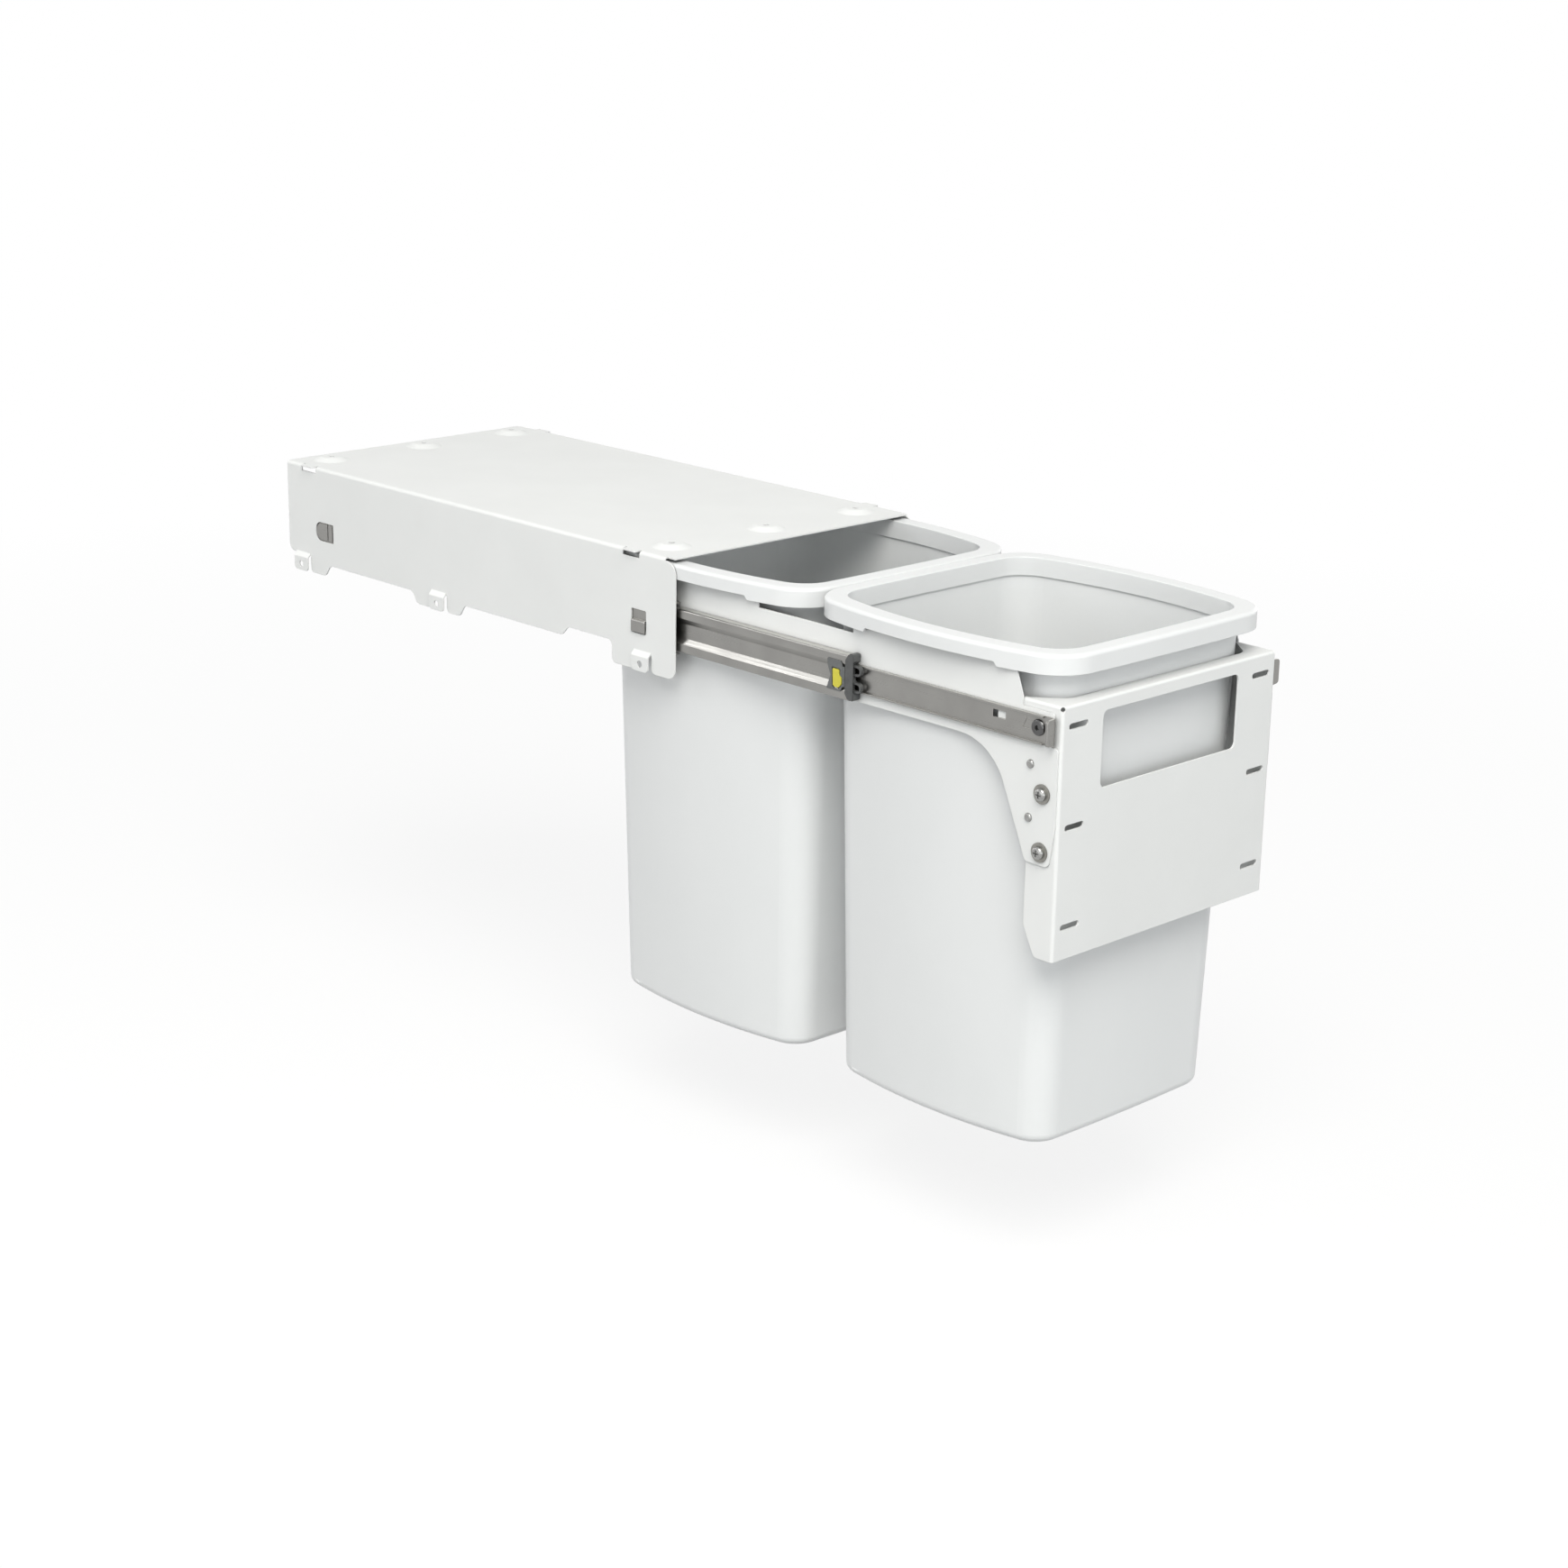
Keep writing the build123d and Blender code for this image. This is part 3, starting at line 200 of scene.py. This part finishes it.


class Paint:
    """A Principled shader with its noise, bump and edge nodes, built step by step."""

    def __init__(self, name, roughness, metallic=0.0):
        self.material = bpy.data.materials.new(name)
        self.material.use_nodes = True
        self.tree = self.material.node_tree
        self.tree.nodes.clear()
        self.shader = self.new("ShaderNodeBsdfPrincipled")
        self.shader.inputs["Metallic"].default_value = metallic
        self.shader.inputs["Roughness"].default_value = roughness
        out = self.new("ShaderNodeOutputMaterial")
        self.link(self.shader.outputs[0], out.inputs[0])
        self.place = self.new("ShaderNodeTexCoord").outputs["Object"]
        self.normal = None

    def new(self, kind):
        return self.tree.nodes.new(kind)

    def link(self, source, target):
        self.tree.links.new(source, target)

    def stretched(self, scale):
        """Coordinates scaled by axis, in turns per metre."""
        mapping = self.new("ShaderNodeMapping")
        mapping.inputs["Scale"].default_value = scale
        self.link(self.place, mapping.inputs["Vector"])
        return mapping.outputs[0]

    def noise(self, scale, detail=3.0, rough=0.55):
        """Noise with features of about 1/scale metres. Three scales stretch it by axis."""
        node = self.new("ShaderNodeTexNoise")
        node.inputs["Detail"].default_value = detail
        node.inputs["Roughness"].default_value = rough
        if isinstance(scale, tuple):
            node.inputs["Scale"].default_value = 1.0
            self.link(self.stretched(scale), node.inputs["Vector"])
        else:
            node.inputs["Scale"].default_value = scale
            self.link(self.place, node.inputs["Vector"])
        return node.outputs["Fac"]

    def ramp(self, value, low, high, to_low=0.0, to_high=1.0):
        """The value's range from low to high mapped onto another range."""
        node = self.new("ShaderNodeMapRange")
        for socket, number in zip(node.inputs[1:5], (low, high, to_low, to_high)):
            socket.default_value = number
        self.link(value, node.inputs[0])
        return node.outputs[0]

    def mix(self, share, first, second):
        """Colour between two colours by a share."""
        node = self.new("ShaderNodeMix")
        node.data_type = "RGBA"
        self.link(share, node.inputs["Factor"])
        for socket, colour in ((node.inputs["A"], first), (node.inputs["B"], second)):
            if isinstance(colour, tuple):
                socket.default_value = (*colour, 1)
            else:
                self.link(colour, socket)
        return node.outputs["Result"]

    def bump(self, height, distance):
        """Adds a bump of the given height in metres to what is there already."""
        node = self.new("ShaderNodeBump")
        node.inputs["Distance"].default_value = distance
        node.inputs["Strength"].default_value = 1.0
        self.link(height, node.inputs["Height"])
        if self.normal is not None:
            self.link(self.normal, node.inputs["Normal"])
        self.normal = node.outputs[0]

    def soft_edges(self, radius):
        """Rounds sharp edges in shading, and returns how near an edge each point is."""
        bevel = self.new("ShaderNodeBevel")
        bevel.samples = SHADER_RAYS
        bevel.inputs["Radius"].default_value = radius
        self.normal = bevel.outputs[0]
        geometry = self.new("ShaderNodeNewGeometry")
        dot = self.new("ShaderNodeVectorMath")
        dot.operation = "DOT_PRODUCT"
        self.link(bevel.outputs[0], dot.inputs[0])
        self.link(geometry.outputs["Normal"], dot.inputs[1])
        return self.ramp(dot.outputs["Value"], *EDGE_BEND)

    def crevice_shade(self, colour, reach, darkest, open_at=0.85):
        """The colour with painted shade: darker in corners and gaps narrower than the reach in metres.
        """
        node = self.new("ShaderNodeAmbientOcclusion")
        node.samples = SHADER_RAYS
        node.inputs["Distance"].default_value = reach
        share = self.ramp(node.outputs["AO"], CREVICE_SHADE_FULL, open_at, 1.0, 0.0)
        shaded = self.new("ShaderNodeMix")
        shaded.data_type = "RGBA"
        shaded.blend_type = "MULTIPLY"
        self.link(share, shaded.inputs["Factor"])
        self.link(colour, shaded.inputs["A"])
        shaded.inputs["B"].default_value = (darkest, darkest, darkest, 1)
        return shaded.outputs["Result"]

    def facing_up(self):
        """1 on faces that look upwards, 0 on the rest."""
        parts = self.new("ShaderNodeSeparateXYZ")
        self.link(self.new("ShaderNodeNewGeometry").outputs["Normal"], parts.inputs[0])
        return self.ramp(parts.outputs["Z"], *UPWARD)

    def done(self, colour, roughness):
        """Links the colour, roughness and normal, and returns the material."""
        self.link(colour, self.shader.inputs["Base Color"])
        self.link(roughness, self.shader.inputs["Roughness"])
        if self.normal is not None:
            self.link(self.normal, self.shader.inputs["Normal"])
        return self.material


def powder_coat():
    """White powder-coated steel: fine orange peel, faint clouding, a painted highlight on the edges and
    painted shade in crevices.
    """
    paint = Paint("white_powder_coat", roughness=0.5)
    paint.shader.inputs["Specular IOR Level"].default_value = 0.3
    edge_highlight = paint.soft_edges(radius=0.0004)
    clouds = paint.ramp(paint.noise(scale=14, detail=4), *NOISE_SPREAD)
    colour = paint.mix(clouds, (0.805, 0.812, 0.803), (0.83, 0.837, 0.828))
    # Painted highlight: the coat paler on its edges and folds.
    colour = paint.mix(edge_highlight, colour, (0.87, 0.87, 0.86))
    # Painted shade: the coat darker in corners and gaps.
    colour = paint.crevice_shade(colour, reach=0.020, darkest=0.55)
    peel = paint.noise(scale=900, detail=2, rough=0.5)
    paint.bump(peel, distance=0.00003)
    return paint.done(colour, paint.ramp(peel, *NOISE_SPREAD, 0.47, 0.55))


def bin_plastic(name, light, dark):
    """Moulded polypropylene: satin, with fine grain, faint flow clouds, a painted highlight on the edges
    and painted shade in crevices.
    """
    paint = Paint(name, roughness=0.35)
    edge_highlight = paint.soft_edges(radius=0.0005)
    flow = paint.ramp(paint.noise(scale=(9, 9, 5), detail=3), *NOISE_SPREAD)
    colour = paint.mix(flow, dark, light)
    # Painted highlight: the plastic paler on its edges.
    colour = paint.mix(edge_highlight, colour, (0.92, 0.92, 0.92))
    # Painted shade: the plastic darker in corners and gaps.
    colour = paint.crevice_shade(colour, reach=0.022, darkest=0.72, open_at=0.7)
    grain = paint.noise(scale=1600, detail=2, rough=0.6)
    paint.bump(paint.noise(scale=22, detail=1), distance=0.00012)
    paint.bump(grain, distance=0.00001)
    return paint.done(colour, paint.ramp(grain, *NOISE_SPREAD, 0.30, 0.38))


def brushed_metal(name, light, dark, roughness):
    """Zinc-plated rolled steel, with streaks along its length, a painted highlight on its edges and
    up-facing faces, and painted shade in narrow gaps.
    """
    paint = Paint(name, roughness, metallic=1.0)
    edge_highlight = paint.soft_edges(radius=0.0003)
    streaks = paint.noise(scale=(1500, 12, 1500), detail=4, rough=0.6)
    clouds = paint.ramp(paint.noise(scale=40, detail=3), *NOISE_SPREAD)
    colour = paint.mix(clouds, dark, light)
    # Painted highlight: the steel brighter on its edges and on faces that look up.
    highlight_colour = tuple(c * METAL_HIGHLIGHT for c in light)
    colour = paint.mix(edge_highlight, colour, highlight_colour)
    colour = paint.mix(paint.facing_up(), colour, highlight_colour)
    # Painted shade: the steel darker in narrow corners and gaps.
    colour = paint.crevice_shade(colour, reach=0.004, darkest=0.6)
    paint.bump(streaks, distance=0.00002)
    return paint.done(colour, paint.ramp(streaks, *STREAK_SPREAD, roughness - 0.07, roughness + 0.08))


def bright_metal(name, colour, roughness):
    """Bright zinc on screws, washers and balls, with fine turning marks."""
    paint = Paint(name, roughness, metallic=1.0)
    paint.soft_edges(radius=0.0002)
    marks = paint.noise(scale=2500, detail=2)
    clouds = paint.ramp(paint.noise(scale=300, detail=2), *NOISE_SPREAD)
    tint = paint.mix(clouds, tuple(c * CLOUDED for c in colour), colour)
    paint.bump(marks, distance=0.00001)
    return paint.done(tint, paint.ramp(marks, *NOISE_SPREAD, roughness - 0.05, roughness + 0.06))


def small_moulding(name, light, dark, roughness):
    """Small moulded piece in a solid colour with a fine grain and a painted highlight on its edges."""
    paint = Paint(name, roughness)
    edge_highlight = paint.soft_edges(radius=0.0002)
    clouds = paint.ramp(paint.noise(scale=180, detail=3), *NOISE_SPREAD)
    colour = paint.mix(clouds, dark, light)
    # Painted highlight: the moulding paler on its edges.
    colour = paint.mix(edge_highlight, colour, tuple(min(1.0, c * MOULDING_EDGE_HIGHLIGHT) for c in light))
    grain = paint.noise(scale=3000, detail=2)
    paint.bump(grain, distance=0.00001)
    return paint.done(colour, paint.ramp(grain, *NOISE_SPREAD, roughness - 0.05, roughness + 0.06))


def dress_nodes():
    """Every CAD node gets the material that belongs to its name."""
    coat = powder_coat()
    bins = bin_plastic("bin_plastic", light=(0.82, 0.83, 0.83), dark=(0.795, 0.807, 0.807))
    rings = bin_plastic("ring_plastic", light=(0.80, 0.81, 0.81), dark=(0.78, 0.79, 0.79))
    slide = brushed_metal(
        "slide_steel", light=(0.315, 0.31, 0.296), dark=(0.28, 0.275, 0.263), roughness=0.32,
    )
    cage = brushed_metal("cage_steel", light=(0.50, 0.50, 0.49), dark=(0.42, 0.42, 0.41), roughness=0.35)
    ball = bright_metal("ball_steel", colour=(0.75, 0.75, 0.75), roughness=0.12)
    screw = bright_metal("screw_steel", colour=(0.36, 0.36, 0.35), roughness=0.24)
    button = bright_metal("burnished_steel", colour=(0.13, 0.13, 0.13), roughness=0.22)
    washer = bright_metal("washer_steel", colour=(0.30, 0.293, 0.27), roughness=0.4)
    dark = small_moulding(
        "dark_plastic", light=(0.14, 0.145, 0.145), dark=(0.11, 0.115, 0.115), roughness=0.42,
    )
    black = small_moulding(
        "black_plastic", light=(0.085, 0.088, 0.088), dark=(0.06, 0.062, 0.062), roughness=0.38,
    )
    yellow = small_moulding(
        "yellow_plastic", light=(0.66, 0.60, 0.06), dark=(0.58, 0.53, 0.05), roughness=0.4,
    )
    by_start = {
        "housing_shell": coat,
        "door_bracket": coat,
        "side_panel": coat,
        "rear_tie_bar": coat,
        "front_bin": bins,
        "rear_bin": bins,
        "front_ring": rings,
        "rear_ring": rings,
        "outer_slide": slide,
        "middle_slide": slide,
        "inner_slide": slide,
        "outer_cage": cage,
        "inner_cage": cage,
        "outer_balls": ball,
        "inner_balls": ball,
        "slide_screws": button,
        "bracket_screws": screw,
        "bracket_rivets": screw,
        "bracket_washers": washer,
        "end_retainer": black,
        "latch_body": dark,
        "latch_pawl": yellow,
    }
    for name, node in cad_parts.items():
        for start, material in by_start.items():
            if name.startswith(start):
                for slot in node.material_slots:
                    slot.material = material


bpy.context.scene.view_settings.view_transform = "Standard"
make_camera()
make_world()
make_floor(box_before[0].z - FLOOR_GAP)
for lamp in LAMPS:
    area_light(*lamp)
dress_nodes()
